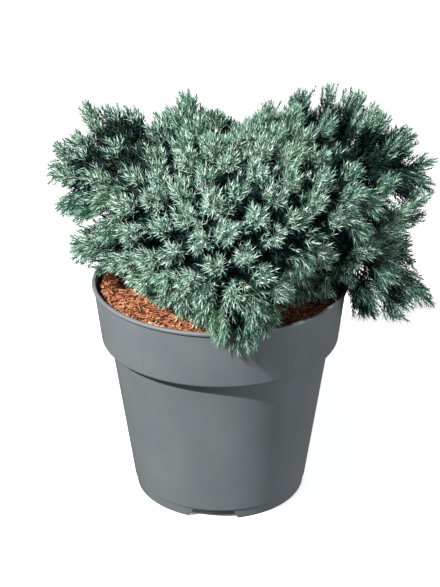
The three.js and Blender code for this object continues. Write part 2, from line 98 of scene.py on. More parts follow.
# Filling
SOIL_TOP = 230.0
MULCH_LOW = 238.0
MULCH_HIGH = 243.5
TRUNK_HOLE_RADIUS = 22.6
GAP = 0.3

# Mulch: the bed's level between low and high, its relief, and the splinters of bark on it
BED_LEVEL = 0.4
BED_WAVE = 0.9
BED_RIPPLE = 0.6
BED_RINGS = 46
BED_STEPS = 180
CHIP_COUNT = 6000
CHIP_SHORTEST = 2.5
CHIP_MORE_LENGTH = 15
CHIP_LENGTH_POWER = 2.5
CHIP_WIDTH = (0.7, 2.3)
CHIP_THICKNESS = (0.4, 1.1)
CHIP_PITCH = 0.28
CHIP_ROLL = 0.4
CHIP_LIFT = (-0.2, 2.2)
CHIP_BEND = 0.07
CHIP_RAGGED = (0.7, 1.2)
CHIP_HIGHEST = 1.2
CHIP_WALL_ROOM = 3
CHIP_HOLE_ROOM = 2

# Limbs
TRUNK_TOP = 320.0
TRUNK_FOOT_RADIUS = 13.0
TRUNK_TOP_RADIUS = 8.5
TRUNK_FLARE = 0.55
TRUNK_FLARE_FADE = 9.0
TRUNK_RIBS = 5
TRUNK_RIB_DEPTH = 0.2
TRUNK_LEAN = (9.0, 3.0)
BOUGH_FOOT_RADIUS = 3.4
BOUGH_TIP_RADIUS = 2.3
BOUGH_STAGGER = 0.08
BOUGH_RISE = 0.35
BOUGH_LEAVE = 0.42
BOUGH_ARRIVE = 0.3
TRUNK_STEPS = 70
TRUNK_SIDES = 56
BOUGH_STEPS = 30
BOUGH_SIDES = 16
RIDGE_RELIEF = 0.05
FLAKE_RELIEF = 0.025
BARK_INSET = 0.06
TRUNK_BARK_SEED = 0.7

# The crown's outline: a dome with named swellings, each told by its azimuth, elevation and
# width in degrees and its height
CROWN_CENTRE = np.array([18.0, 2.0, 318.0])
CROWN_SIDE = 157.0
CROWN_FRONT = 141.0
CROWN_UP = 104.0
CROWN_DOWN = 101.0
SWELLINGS = {
    "right_middle": (8, 7, 18, 36),
    "right_shoulder": (13, 22, 19, 39),
    "right_peak": (33, 44, 16, 50),
    "apex": (61, 61, 11, 23),
    "saddle": (82, 59, 24, -30),
    "middle_peak": (131, 58, 15, 31),
    "left_dip": (149, 46, 9, -21),
    "left_crest": (157, 35, 14, 44),
    "left_corner": (173, 17, 21, 46),
    "left_middle": (-174, -16, 11, 34),
    "left_foot": (178, -27, 23, -24),
    "bare_mulch": (-149, -21, 24, -16),
    "mulch_edge": (-121, -25, 12, -5),
    "front_drape": (-88, -22, 15, 40),
    "right_notch": (-47, -19, 19, -50),
    "right_hollow": (-8, -10, 10, -30),
    "right_skirt": (-9, -25, 16, 84),
    "back_left": (118, 2, 30, 22),
    "back_right": (62, -4, 28, 26),
}

# Gaps between the boughs, told the same way with their depth. The needles in them get the painted
# shade colours too
POCKETS = {
    "right_gap": (-10, 37, 9, -26),
    "right_gap_low": (-2, 23, 7, -18),
    "right_face_gap": (-38, 25, 7, -14),
    "middle_gap": (-67, 23, 8, -16),
    "middle_gap_high": (-92, 30, 7, -12),
    "front_gap": (-93, 1, 8, -24),
    "front_gap_right": (-71, 5, 9, -28),
    "low_gap_right": (-52, 10, 8, -20),
    "low_gap_left": (-127, 0, 8, -16),
    "left_face_gap": (-111, 13, 7, -12),
    "left_valley": (-158, 36, 10, -18),
    "left_valley_low": (-139, 20, 7, -10),
}

# The tips that stand furthest out: azimuth and elevation
LEADING_TIPS = {
    "right_end": (12, 4),
    "right_upper": (13, 24),
    "right_crest": (25, 39),
    "summit": (37, 45),
    "back_summit": (43, 53),
    "middle_top": (136, 57),
    "left_crest": (160, 32),
    "left_corner": (171, 20),
    "left_side": (176, 12),
    "left_end": (-179, 3),
    "left_low": (-174, -12),
    "mulch_tip": (-142, -21),
    "drape_left": (-98, -28),
    "drape_right": (-86, -27),
    "right_low": (-34, -30),
    "skirt_low": (-16, -29),
    "skirt_end": (-6, -23),
    "right_front": (-11, 8),
    "right_under": (0, -8),
    "skirt_root": (-2, -14),
    "right_top": (20, 22),
    "left_front": (-166, 5),
    "left_foot": (-168, -12),
    "left_fold": (-164, 1),
    "left_top": (164, 44),
    "saddle_right": (60, 58),
    "right_brow": (20, 34),
    "right_corner": (19, 18),
}

# Masses of foliage: count, elevation, first azimuth, and where their boughs leave the trunk
TIERS = {
    "skirt": (9, -15, -88, 0.22),
    "shoulder": (8, 20, -108, 0.54),
    "top": (5, 60, -130, 0.8),
}
AZIMUTH_SWAY = 5.0
AXIS_LIFT = 0.15
MASS_MIDDLE = 0.52
MASS_DEPTH = 96.0
MASS_DEPTH_SHARE = 0.6
ROOT_FLOOR = 259.0

# Outside the rim nothing hangs below this height, and from this far inside its edge the
# foliage only has to clear the mulch
LOWEST_NEEDLE = 215.0
RIM_ZONE = 7.0

# Sprays: the source's own shoots lead, and smaller ones fill between and behind them
LEADER_COUNT = 198
FILLER_COUNT = 270
UNDER_COUNT = 300
LOWEST_RISE = -0.62
RISE_POWER = 0.8
SLACK_LEAST = 4.0
SLACK_MOST = 14.0

# Layers of sprays: count, first turn, and the nearest and furthest that their tips stand out
SPRAY_LAYERS = [
    (LEADER_COUNT, 0, SLACK_LEAST, SLACK_MOST),
    (FILLER_COUNT, 2.0, -6.0, -19.0),
    (UNDER_COUNT, 4.0, -24.0, -40.0),
]
LEADER_LENGTH = 62.0
FILLER_LENGTH = 46.0
SHOOT_LIFT = (0.0, 0.55)
SHOOT_DROOP = 0.55
FAN_SHARE = 0.4
SPRAY_ROOM = 0.9

# A spray's own shoot and its side shoots, which set out wide and end up close to its axis
OWN_SHOOT_START = 0.25
LEADER_SIDES = 18
FILLER_SIDES = 11
SIDE_SPAN = (0.12, 0.8)
SIDE_STEP = (0.1, 0.9)
SIDE_TURN_SPREAD = 0.2
SIDE_LENGTHS = (34.0, 18.0)
SIDE_LENGTH_SPREAD = (0.75, 1.15)
SMALL_SPRAY_SHARE = 0.75
SIDE_ANGLE = 38.0
SIDE_ANGLE_SPREAD = 6
SIDE_ANGLE_END = 8.0
SIDE_ANGLE_END_SPREAD = 7
SIDE_LIFT = 0.1

# Shoots that reach too far are shortened a few times, and the shortest are left out
TRIM_ROUNDS = 6
TRIM_SHARE = 0.8
TRIM_SLACK = 6
TIP_NEEDLES = 5
SHORTEST_SHOOT = 9
SHOOT_CLEARANCE = 0.5
BOX_EXCESS = 5.0

# Needles in whorls of three, shorter at both ends of a shoot
IN_WHORL = 3
WHORL_SPACING = 3.0
FEWEST_WHORLS = 3
FIRST_WHORL = 0.6
WHORL_SPREAD = (-0.25, 0.25)
NEEDLE_TURN_SPREAD = 0.22
NEEDLE_LENGTH = 10.5
NEEDLE_LENGTH_SPREAD = (0.85, 1.15)
NEEDLE_WIDTH = 1.25
NEEDLE_THICKNESS = 0.55
KEEL_LEAN = 0.8
NEEDLE_ANGLE = (48.0, 24.0)
NEEDLE_ANGLE_POWER = 1.4
NEEDLE_ANGLE_SPREAD = 6
END_SHARE = 0.28
END_SIZE = 0.68
FOOT_SHARE = 0.15
FOOT_SIZE = 0.75
NEEDLE_DEPTH = 52.0
NEEDLE_ROUGHNESS = 0.5
NEEDLE_GLOSS = 0.2

# Which needles are fresh, pale on their inner face, or so deep in the crown that their colours are
# painted shade
FRESH_FROM = 0.82
FRESH_SHARE = 0.55
PALE_SHARE = 0.45
SHADE_DEPTH = 14.0

# Stems: where a twig leaves its mass's stem, how it bends, and how thick each kind is
TWIG_STARTS = (0.45, 1.0)
TWIG_LEAVE = 0.35
TWIG_ARRIVE = 0.45
TWIG_OVERLAP = 0.3
TWIG_STEPS = 6
TWIG_SIDES = 5
TWIG_RADII = (1.35, 0.75)
MASS_STEM_TIP = 1.5
MASS_STEM_STEPS = 8
MASS_STEM_SIDES = 8
SHOOT_STATIONS = (0.0, 0.5, 1.0)
SHOOT_RADII = (0.75, 0.6, 0.3)

# The camera stands where the photograph was taken from. Places on the stage are in metres
CAMERA_PLACE = (0, -1.498, 0.916)
CAMERA_DIP_DEG = 24.6
CAMERA_LENS = 91.99
CAMERA_SENSOR = 36

# Lamps: place, size, power and colour
LAMPS = {
    "key": ((-1.78, -1.62, 2.36), 0.12, 240, (1.0, 0.98, 0.95)),
    "fill": ((2.1, -0.9, 0.25), 1.0, 30, (1, 1, 1)),
}
LAMP_AIM = (0.02, 0, 0.27)
SKY_COLOUR = (0.96, 0.98, 1.0, 1)
SKY_STRENGTH = 0.19
FLOOR_CORNERS = [(-6, -4, 0), (6, -4, 0), (6, 14, 0), (-6, 14, 0)]
# The floor glows evenly, but its glow fades out between the outer and the inner radius round the
# pot's foot: a painted contact shadow
FLOOR_GLOW = 0.8
PAINTED_SHADOW_INNER = FOOT_RADIUS - 11
PAINTED_SHADOW_OUTER = FOOT_RADIUS + 5


# Small helpers


def lerp(a, b, t):
    return a + (b - a) * t


def unit(vectors):
    return vectors / np.linalg.norm(vectors, axis=-1, keepdims=True)


def heading(azimuth, elevation):
    a = math.radians(azimuth)
    e = math.radians(elevation)
    return np.array([math.cos(e) * math.cos(a), math.cos(e) * math.sin(a), math.sin(e)])


def seeded(seed):
    """The source's repeatable stream of numbers between 0 and 1."""
    state = seed % 2147483647
    while True:
        state = (state * 48271) % 2147483647
        yield state / 2147483647


def across(directions):
    """Two unit vectors square to each direction."""
    reference = np.where(np.abs(directions[:, 2:3]) < 0.9, UP, np.array([1.0, 0.0, 0.0]))
    first = unit(np.cross(directions, reference))
    return first, np.cross(directions, first)


def ring_quads(rings, steps):
    """The quads between rings of points that lie one after another."""
    i, j = np.meshgrid(np.arange(rings - 1), np.arange(steps), indexing="ij")
    k = (j + 1) % steps
    low = i * steps
    high = low + steps
    return np.stack([low + j, low + k, high + k, high + j], -1).reshape(-1, 4)


def shape_object(name, points, faces, materials=()):
    """A mesh from points in millimetres and faces with any count of corners."""
    mesh = bpy.data.meshes.new(name)
    mesh.from_pydata((np.array(points) * MM).tolist(), [], faces)
    for material in materials:
        mesh.materials.append(material)
    piece = bpy.data.objects.new(name, mesh)
    bpy.context.scene.collection.objects.link(piece)
    return piece


def mesh_object(name, points, faces, materials, material_index=None, smooth=False):
    """A mesh from an array of points in millimetres and an array of equal faces."""
    mesh = bpy.data.meshes.new(name)
    count, corners = faces.shape
    mesh.vertices.add(len(points))
    mesh.vertices.foreach_set("co", (np.asarray(points) * MM).astype(np.float32).ravel())
    mesh.loops.add(count * corners)
    mesh.loops.foreach_set("vertex_index", faces.astype(np.int32).ravel())
    mesh.polygons.add(count)
    mesh.polygons.foreach_set("loop_start", np.arange(0, count * corners, corners, dtype=np.int32))
    for material in materials:
        mesh.materials.append(material)
    if material_index is not None:
        mesh.polygons.foreach_set("material_index", material_index.astype(np.int32))
    mesh.update(calc_edges=True)
    mesh.polygons.foreach_set("use_smooth", np.full(count, smooth))
    piece = bpy.data.objects.new(name, mesh)
    bpy.context.scene.collection.objects.link(piece)
    return piece


def place(piece, slot, *nodes):
    """Puts a piece in the part's body and hides the nodes that it replaces; its slot is not used."""
    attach(piece, "root")
    if nodes:
        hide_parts(*nodes)


# Materials


def node_material(name):
    material = bpy.data.materials.new(name)
    material.use_nodes = True
    tree = material.node_tree
    shader = tree.nodes["Principled BSDF"]
    return material, tree, shader


def plain_material(name, colour, roughness, specular=0.35):
    material, _, shader = node_material(name)
    shader.inputs["Base Color"].default_value = (*colour, 1)
    shader.inputs["Roughness"].default_value = roughness
    shader.inputs["Specular IOR Level"].default_value = specular
    return material


def noise(tree, scale, detail=4.0, roughness=0.55, stretch=(1, 1, 1)):
    coordinates = tree.nodes.new("ShaderNodeTexCoord")
    mapping = tree.nodes.new("ShaderNodeMapping")
    mapping.inputs["Scale"].default_value = stretch
    texture = tree.nodes.new("ShaderNodeTexNoise")
    texture.inputs["Scale"].default_value = scale
    texture.inputs["Detail"].default_value = detail
    texture.inputs["Roughness"].default_value = roughness
    tree.links.new(coordinates.outputs["Object"], mapping.inputs["Vector"])
    tree.links.new(mapping.outputs["Vector"], texture.inputs["Vector"])
    return texture.outputs["Fac"]


def ramp(tree, factor, stops):
    """A colour ramp whose stops are (place, colour)."""
    node = tree.nodes.new("ShaderNodeValToRGB")
    elements = node.color_ramp.elements
    while len(elements) < len(stops):
        elements.new(0.5)
    for element, (position, colour) in zip(elements, stops):
        element.position = position
        element.color = (*colour, 1)
    tree.links.new(factor, node.inputs["Fac"])
    return node.outputs["Color"]


def mix(tree, factor, base, colour):
    """Lays a plain colour over a colour that comes out of another node."""
    node = tree.nodes.new("ShaderNodeMix")
    node.data_type = "RGBA"
    node.blend_type = "MIX"
    tree.links.new(factor, node.inputs["Factor"])
    tree.links.new(base, node.inputs[6])
    node.inputs[7].default_value = (*colour, 1)
    return node.outputs[2]


def span(tree, value, low, high):
    """Maps a 0 to 1 value onto low to high."""
    node = tree.nodes.new("ShaderNodeMapRange")
    node.inputs["To Min"].default_value = low
    node.inputs["To Max"].default_value = high
    tree.links.new(value, node.inputs["Value"])
    return node.outputs["Result"]


def add_bump(tree, shader, height, strength, distance):
    bump = tree.nodes.new("ShaderNodeBump")
    bump.inputs["Strength"].default_value = strength
    bump.inputs["Distance"].default_value = distance
    tree.links.new(height, bump.inputs["Height"])
    tree.links.new(bump.outputs["Normal"], shader.inputs["Normal"])


POT_TONES = [(0.3, (0.131, 0.151, 0.161)), (0.7, (0.156, 0.18, 0.191))]
POT_DUST = (0.19, 0.214, 0.223)
POT_DUST_SHARES = [(0.5, (0.0, 0.0, 0.0)), (0.8, (0.3, 0.3, 0.3))]
BARK_TONES = [(0.3, (0.03, 0.017, 0.01)), (0.5, (0.13, 0.075, 0.048)), (0.75, (0.3, 0.2, 0.14))]
BARK_GREY = (0.23, 0.19, 0.16)
BARK_GREY_SHARES = [(0.5, (0.0, 0.0, 0.0)), (0.75, (0.5, 0.5, 0.5))]


def pot_material():
    """Matte grey plastic: faint mottling, dusty streaks and a fine grain."""
    material, tree, shader = node_material("pot_plastic")
    cloudy = noise(tree, 14, 5)
    streaks = noise(tree, 30, 3, stretch=(1, 1, 0.12))
    grain = noise(tree, 900, 2)
    tone = ramp(tree, cloudy, POT_TONES)
    dusty = ramp(tree, streaks, POT_DUST_SHARES)
    tree.links.new(mix(tree, dusty, tone, POT_DUST), shader.inputs["Base Color"])
    tree.links.new(span(tree, cloudy, 0.42, 0.58), shader.inputs["Roughness"])
    shader.inputs["Specular IOR Level"].default_value = 0.4
    add_bump(tree, shader, grain, 0.12, 0.0004)
    return material


SOIL_TONES = [
    (0.3, (0.008, 0.005, 0.003)),
    (0.6, (0.045, 0.026, 0.015)),
    (0.8, (0.1, 0.06, 0.035)),
]
BED_TONES = [
    (0.32, (0.03, 0.008, 0.003)),
    (0.5, (0.2, 0.06, 0.02)),
    (0.72, (0.46, 0.17, 0.06)),
]


def crumbly_material(name, tones, scale, roughness, bump_distance):
    """Loose ground whose tones and bumps follow the same noise."""
    material, tree, shader = node_material(name)
    crumbs = noise(tree, scale, 6, 0.7)
    tree.links.new(ramp(tree, crumbs, tones), shader.inputs["Base Color"])
    shader.inputs["Roughness"].default_value = roughness
    add_bump(tree, shader, crumbs, 0.8, bump_distance)
    return material


def bark_material():
    """Thin grey-brown bark in flaking strips that run along the limb."""
    material, tree, shader = node_material("bark")
    strips = noise(tree, 220, 6, 0.65, stretch=(1, 1, 0.18))
    cloudy = noise(tree, 60, 3)
    brown = ramp(tree, strips, BARK_TONES)
    grey = ramp(tree, cloudy, BARK_GREY_SHARES)
    tree.links.new(mix(tree, grey, brown, BARK_GREY), shader.inputs["Base Color"])
    shader.inputs["Roughness"].default_value = 0.9
    add_bump(tree, shader, strips, 0.7, 0.0015)
    return material


# Camera, lamps and floor


def add_camera():
    data = bpy.data.cameras.new("camera")
    data.lens = CAMERA_LENS
    data.sensor_width = CAMERA_SENSOR
    camera = bpy.data.objects.new("camera", data)
    camera.location = CAMERA_PLACE
    camera.rotation_euler = (math.radians(90 - CAMERA_DIP_DEG), 0, 0)
    bpy.context.scene.collection.objects.link(camera)
    bpy.context.scene.camera = camera


def add_lamp(name, location, size, power, colour):
    data = bpy.data.lights.new(name, "AREA")
    data.size = size
    data.energy = power
    data.color = colour
    light = bpy.data.objects.new(name, data)
    light.location = location
    aim = Vector(LAMP_AIM) - light.location
    light.rotation_euler = aim.to_track_quat("-Z", "Y").to_euler()
    bpy.context.scene.collection.objects.link(light)


def floor_glow_and_painted_shadow(tree):
    """The floor's own even glow, faded out under and just around the pot's foot as a painted contact
    shadow.
    """
    coordinates = tree.nodes.new("ShaderNodeTexCoord")
    radius = tree.nodes.new("ShaderNodeVectorMath")
    radius.operation = "LENGTH"
    fade = tree.nodes.new("ShaderNodeMapRange")
    fade.interpolation_type = "SMOOTHSTEP"
    fade.inputs["From Min"].default_value = PAINTED_SHADOW_INNER * MM
    fade.inputs["From Max"].default_value = PAINTED_SHADOW_OUTER * MM
    fade.inputs["To Min"].default_value = 0.0
    fade.inputs["To Max"].default_value = FLOOR_GLOW
    tree.links.new(coordinates.outputs["Object"], radius.inputs[0])
    tree.links.new(radius.outputs["Value"], fade.inputs["Value"])
    return fade.outputs["Result"]


def add_floor():
    material, tree, shader = node_material("floor")
    shader.inputs["Base Color"].default_value = (0.9, 0.9, 0.9, 1)
    shader.inputs["Roughness"].default_value = 0.9
    shader.inputs["Emission Color"].default_value = (1, 1, 1, 1)
    tree.links.new(floor_glow_and_painted_shadow(tree), shader.inputs["Emission Strength"])
    corners = np.array(FLOOR_CORNERS) / MM
    floor = mesh_object("floor", corners, np.array([[0, 1, 2, 3]]), [material])
    floor.visible_diffuse = False
    floor.visible_glossy = False


def add_stage():
    world = bpy.data.worlds.new("studio")
    bpy.context.scene.world = world
    world.use_nodes = True
    background = world.node_tree.nodes["Background"]
    background.inputs["Color"].default_value = SKY_COLOUR
    background.inputs["Strength"].default_value = SKY_STRENGTH
    add_floor()
    for name, lamp in LAMPS.items():
        add_lamp(name, *lamp)
    bpy.context.scene.view_settings.view_transform = "Standard"


# Pot


def collar_radius(z):
    share = (z - COLLAR_BOTTOM) / (POT_HEIGHT - COLLAR_BOTTOM)
    return lerp(COLLAR_FOOT_RADIUS, RIM_RADIUS - LIP_PROUD, share)


def rounded(corners):
    """A profile whose corners are rounded, each by its own radius, but for its two ends."""
    points = [np.array(point, float) for point, _ in corners]
    line = [points[0]]
    for i in range(1, len(points) - 1):
        corner = points[i]
        to_before = points[i - 1] - corner
        to_after = points[i + 1] - corner
        room_before = np.linalg.norm(to_before)
        room_after = np.linalg.norm(to_after)
        size = min(corners[i][1], 0.45 * room_before, 0.45 * room_after)
        start = corner + to_before / room_before * size
        end = corner + to_after / room_after * size
        for step in range(CORNER_STEPS + 1):
            t = step / CORNER_STEPS
            line.append(lerp(lerp(start, corner, t), lerp(corner, end, t), t))
    line.append(points[-1])
    return np.array(line)


def pot_profile():
    """The pot's section from the middle of its underside, out, up, over the lip and back in.

    Each corner is told by its radius from the axis and its height, and by its rounding.
    """
    lip_bottom = POT_HEIGHT - LIP_HEIGHT
    foot = FOOT_RADIUS - WALL
    corners = [
        ((0, 0), 0),
        ((CENTRE_PAD_RADIUS, 0), 0.5),
        ((CENTRE_PAD_RADIUS + CORNER, BASE_UNDERSIDE), 1),
        ((foot - CORNER, BASE_UNDERSIDE), 1),
        ((foot - 1, 0), 0.5),
        ((FOOT_RADIUS, 0), 0.8),
        ((FOOT_TOP_RADIUS, FOOT_LINE), 0.5),
        ((FOOT_TOP_RADIUS + FOOT_LEDGE, FOOT_LINE + FOOT_LEDGE / 2), 0.4),
        ((FOOT_TOP_RADIUS + FOOT_LEDGE + FOOT_LEDGE_LEAN, FOOT_LINE + FOOT_LEDGE_TOP), 0.8),
        ((BODY_TOP_RADIUS, COLLAR_BOTTOM), 0.8),
        ((COLLAR_FOOT_RADIUS - CORNER, COLLAR_BOTTOM), 0.6),
        ((COLLAR_FOOT_RADIUS, COLLAR_BOTTOM + CORNER), 2.5),
        ((collar_radius(lip_bottom - 1), lip_bottom - 1), 0.3),
        ((collar_radius(lip_bottom) - 0.5, lip_bottom - 0.2), 0.3),
        ((RIM_RADIUS - 0.4, lip_bottom + 0.3), 0.5),
        ((RIM_RADIUS, lip_bottom + LIP_PROUD), 1),
        ((RIM_RADIUS, POT_HEIGHT - 1), 1),
        ((RIM_RADIUS - LIP_CHAMFER, POT_HEIGHT), 1),
        ((collar_radius(POT_HEIGHT) - WALL, POT_HEIGHT), 0.9),
        ((collar_radius(COLLAR_BOTTOM + WALL) - WALL, COLLAR_BOTTOM + WALL), 1.5),
        ((BODY_TOP_RADIUS - WALL, COLLAR_BOTTOM - CORNER), 1.5),
        ((FOOT_TOP_RADIUS - WALL, BASE_UNDERSIDE + WALL), 2),
        ((0, BASE_UNDERSIDE + WALL), 0),
    ]
    return rounded(corners)


def lathe(name, profile, steps, materials):
    """A closed body turned from a profile that starts and ends on the axis."""
    rim = profile[1:-1]
    angles = np.arange(steps) * 2 * math.pi / steps
    rings = np.empty((len(rim), steps, 3))
    rings[..., 0] = rim[:, None, 0] * np.cos(angles)
    rings[..., 1] = rim[:, None, 0] * np.sin(angles)
    rings[..., 2] = rim[:, None, 1]
    ends = [(0, 0, profile[0, 1]), (0, 0, profile[-1, 1])]
    points = np.concatenate([rings.reshape(-1, 3), ends])
    faces = ring_quads(len(rim), steps).tolist()
    last = (len(rim) - 1) * steps
    low = len(points) - 2
    for j in range(steps):
        k = (j + 1) % steps
        faces.append((low, k, j))
        faces.append((low + 1, last + j, last + k))
    return shape_object(name, points, faces, materials)


def prism(name, section, start, depth, turn):
    """A cutter: an upright section of (across, height) pushed outwards at a heading."""
    outwards = np.array([math.cos(turn), math.sin(turn), 0])
    sideways = np.array([-math.sin(turn), math.cos(turn), 0])
    count = len(section)
    points = []
    for far in (start, start + depth):
        for side, height in section:
            points.append(outwards * far + sideways * side + UP * height)
    faces = [tuple(range(count))[::-1], tuple(range(count, 2 * count))]
    for i in range(count):
        j = (i + 1) % count
        faces.append((i, j, count + j, count + i))
    return shape_object(name, points, faces)


def cut(piece, cutters):
    """Takes the cutters' shapes out of a piece, and then removes the cutters."""
    for cutter in cutters:
        modifier = piece.modifiers.new("cut", "BOOLEAN")
        modifier.operation = "DIFFERENCE"
        modifier.solver = "EXACT"
        modifier.object = cutter
    graph = bpy.context.evaluated_depsgraph_get()
    finished = bpy.data.meshes.new_from_object(piece.evaluated_get(graph))
    piece.modifiers.clear()
    piece.data = finished
    for cutter in cutters:
        bpy.data.objects.remove(cutter)


def notch_cutters():
    """Evenly spaced notches through the foot ring, with small chamfers at their upper corners."""
    right = [
        (NOTCH_WIDTH_LOW / 2, -NOTCH_BELOW_GROUND),
        (NOTCH_WIDTH_HIGH / 2 + NOTCH_CORNER, NOTCH_HEIGHT - NOTCH_CORNER),
        (NOTCH_WIDTH_HIGH / 2 - NOTCH_CORNER / 2, NOTCH_HEIGHT),
    ]
    left = [(-side, height) for side, height in reversed(right)]
    section = [left[-1], *right, *left[:-1]]
    start = FOOT_RADIUS - NOTCH_INWARDS * NOTCH_DEPTH
    turns = [math.radians(NOTCH_FIRST_DEG + 360 * i / NOTCH_COUNT) for i in range(NOTCH_COUNT)]
    return [prism("notch", section, start, NOTCH_DEPTH, turn) for turn in turns]


def add_pot():
    pot = lathe("pot_shell", pot_profile(), POT_STEPS, [pot_material()])
    cut(pot, notch_cutters())
    mesh = pot.data
    mesh.polygons.foreach_set("use_smooth", np.full(len(mesh.polygons), True))
    mesh.set_sharp_from_angle(angle=math.radians(SHARP_EDGE_DEG))
    place(pot, "pot_plastic", "pot")


def give_soil():
    """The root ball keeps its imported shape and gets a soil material."""
    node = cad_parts["root_ball"]
    node.data.materials.clear()
    soil = crumbly_material("potting_soil", SOIL_TONES, 260, 1.0, 0.003)
    node.data.materials.append(soil)


# Mulch: an uneven bed with shredded strips of bark lying over it


def bed_height(x, y):
    """The bed's level with broad waves and small ripples, all of them in fixed places."""
    wave = np.sin(x * 0.11 + 1.3) * np.sin(y * 0.13 + 0.4)
    ripple = np.sin(x * 0.37 + y * 0.21) * np.sin(y * 0.33 - x * 0.17 + 2.0)
    return lerp(MULCH_LOW, MULCH_HIGH, BED_LEVEL) + BED_WAVE * wave + BED_RIPPLE * ripple


def add_mulch_bed():
    """A ring with an uneven top and a flat underside, open in the middle for the trunk."""
    outside = collar_radius(MULCH_LOW) - WALL - 2 * GAP
    radii = np.linspace(TRUNK_HOLE_RADIUS, outside, BED_RINGS)
    angles = np.arange(BED_STEPS) * 2 * math.pi / BED_STEPS
    x = radii[:, None] * np.cos(angles)
    y = radii[:, None] * np.sin(angles)
    top = np.stack([x, y, bed_height(x, y)], axis=-1)
    low = SOIL_TOP + GAP
    inner = top[:1].copy()
    inner[..., 2] = low
    outer = top[-1:].copy()
    outer[..., :2] *= (collar_radius(low) - WALL - 2 * GAP) / outside
    outer[..., 2] = low
    rings = np.concatenate([inner, top, outer])
    points = rings.reshape(-1, 3)
    faces = ring_quads(len(rings) + 1, BED_STEPS)[:, [0, 3, 2, 1]] % len(points)
    bark = crumbly_material("bark_mulch_bed", BED_TONES, 320, 0.95, 0.002)
    bed = mesh_object("mulch_bed", points, faces, [bark], smooth=True)
    place(bed, "bark_mulch", "bark_mulch")


CHIP_COLOURS = [
    ("chip_orange", (0.47, 0.18, 0.08)),
    ("chip_rust", (0.32, 0.11, 0.05)),
    ("chip_tan", (0.55, 0.28, 0.15)),
    ("chip_pale", (0.68, 0.44, 0.27)),
    ("chip_dark", (0.05, 0.02, 0.012)),
]
CHIP_SHARES = [0.36, 0.31, 0.12, 0.05, 0.16]
CHIP_ROUGHNESS = 0.85

# Four stations along a splinter, as shares of its length and of its width: a ragged tip, two
# shoulders and a ragged tip
CHIP_STATIONS = [(-0.5, 0.35), (-0.22, 1.0), (0.2, 0.85), (0.5, 0.25)]


def chip_points(rng, count):
    """The corners of splinters that mostly lie flat, as (splinters, stations, corners, 3)."""
    outside = collar_radius(MULCH_HIGH) - WALL - CHIP_WALL_ROOM
    inside = TRUNK_HOLE_RADIUS + CHIP_HOLE_ROOM
    radius = np.sqrt(rng.uniform(inside**2, outside**2, count))
    angle = rng.uniform(0, 2 * math.pi, count)
    length = CHIP_SHORTEST + CHIP_MORE_LENGTH * rng.random(count) ** CHIP_LENGTH_POWER
    width = rng.uniform(*CHIP_WIDTH, count)
    thick = rng.uniform(*CHIP_THICKNESS, count)
    radius = np.minimum(radius, outside - 0.5 * length)
    x = radius * np.cos(angle)
    y = radius * np.sin(angle)
    yaw = rng.uniform(0, 2 * math.pi, count)
    pitch = rng.normal(0, CHIP_PITCH, count)
    level = np.cos(pitch)
    along = np.stack([np.cos(yaw) * level, np.sin(yaw) * level, np.sin(pitch)], 1)
    flat_side = unit(np.cross(UP, along))
    flat_normal = np.cross(along, flat_side)
    roll = rng.normal(0, CHIP_ROLL, count)[:, None]
    side = np.cos(roll) * flat_side + np.sin(roll) * flat_normal
    normal = np.cos(roll) * flat_normal - np.sin(roll) * flat_side
    centre = np.stack([x, y, bed_height(x, y) + rng.uniform(*CHIP_LIFT, count)], 1)
    bend = rng.normal(0, CHIP_BEND, (count, len(CHIP_STATIONS))) * length[:, None]
    points = np.empty((count, len(CHIP_STATIONS), 4, 3))
    for s, (station, share) in enumerate(CHIP_STATIONS):
        middle = centre + along * (length * station)[:, None] + side * bend[:, s : s + 1]
        half = (width * share * rng.uniform(*CHIP_RAGGED, count) / 2)[:, None]
        deep = (thick * (0.5 + 0.5 * share) / 2)[:, None]
        points[:, s, 0] = middle - side * half - normal * deep
        points[:, s, 1] = middle + side * half - normal * deep
        points[:, s, 2] = middle + side * half + normal * deep
        points[:, s, 3] = middle - side * half + normal * deep
    top = points[..., 2].max(axis=(1, 2))
    points[..., 2] -= np.maximum(0, top - MULCH_HIGH - CHIP_HIGHEST)[:, None, None]
    return points


def add_chips():
    """Shredded bark that lies loose over the bed."""
    rng = np.random.default_rng(SEED)
    points = chip_points(rng, CHIP_COUNT)
    ends = [(3, 2, 1, 0), (12, 13, 14, 15)]
    quads = np.concatenate([ring_quads(len(CHIP_STATIONS), 4), ends])
    corners = 4 * len(CHIP_STATIONS)
    faces = (quads[None] + corners * np.arange(CHIP_COUNT)[:, None, None]).reshape(-1, 4)
    kind = rng.choice(len(CHIP_COLOURS), CHIP_COUNT, p=CHIP_SHARES)
    looks = [plain_material(name, colour, CHIP_ROUGHNESS) for name, colour in CHIP_COLOURS]
    kinds = np.repeat(kind, len(quads))
    chips = mesh_object("mulch_chips", points.reshape(-1, 3), faces, looks, kinds)
    place(chips, "bark_mulch", "bark_mulch")


# The crown's rule


BUMPS = [*SWELLINGS.values(), *POCKETS.values()]
BUMP_DIRECTIONS = np.array([heading(s[0], s[1]) for s in BUMPS])
BUMP_WIDTHS = np.radians([s[2] for s in BUMPS])
BUMP_HEIGHTS = np.array([s[3] for s in BUMPS], float)
IS_POCKET = np.arange(len(BUMPS)) >= len(SWELLINGS)


def bump_shares(directions):
    """How much of each swelling and pocket is felt in each direction."""
    apart = np.arccos(np.clip(directions @ BUMP_DIRECTIONS.T, -1, 1)) / BUMP_WIDTHS
    return np.exp(-(apart**2))


def crown_reach(directions):
    """How far the crown's surface lies from its centre in each direction."""
    axes = np.empty_like(directions)
    axes[:, 0] = CROWN_SIDE
    axes[:, 1] = CROWN_FRONT
    axes[:, 2] = np.where(directions[:, 2] > 0, CROWN_UP, CROWN_DOWN)
    reach = 1 / np.linalg.norm(directions / axes, axis=1)
    return reach + bump_shares(directions) @ BUMP_HEIGHTS


def depth_under_surface(points):
    from_centre = points - CROWN_CENTRE
    distance = np.linalg.norm(from_centre, axis=1)
    return crown_reach(from_centre / distance[:, None]) - distance


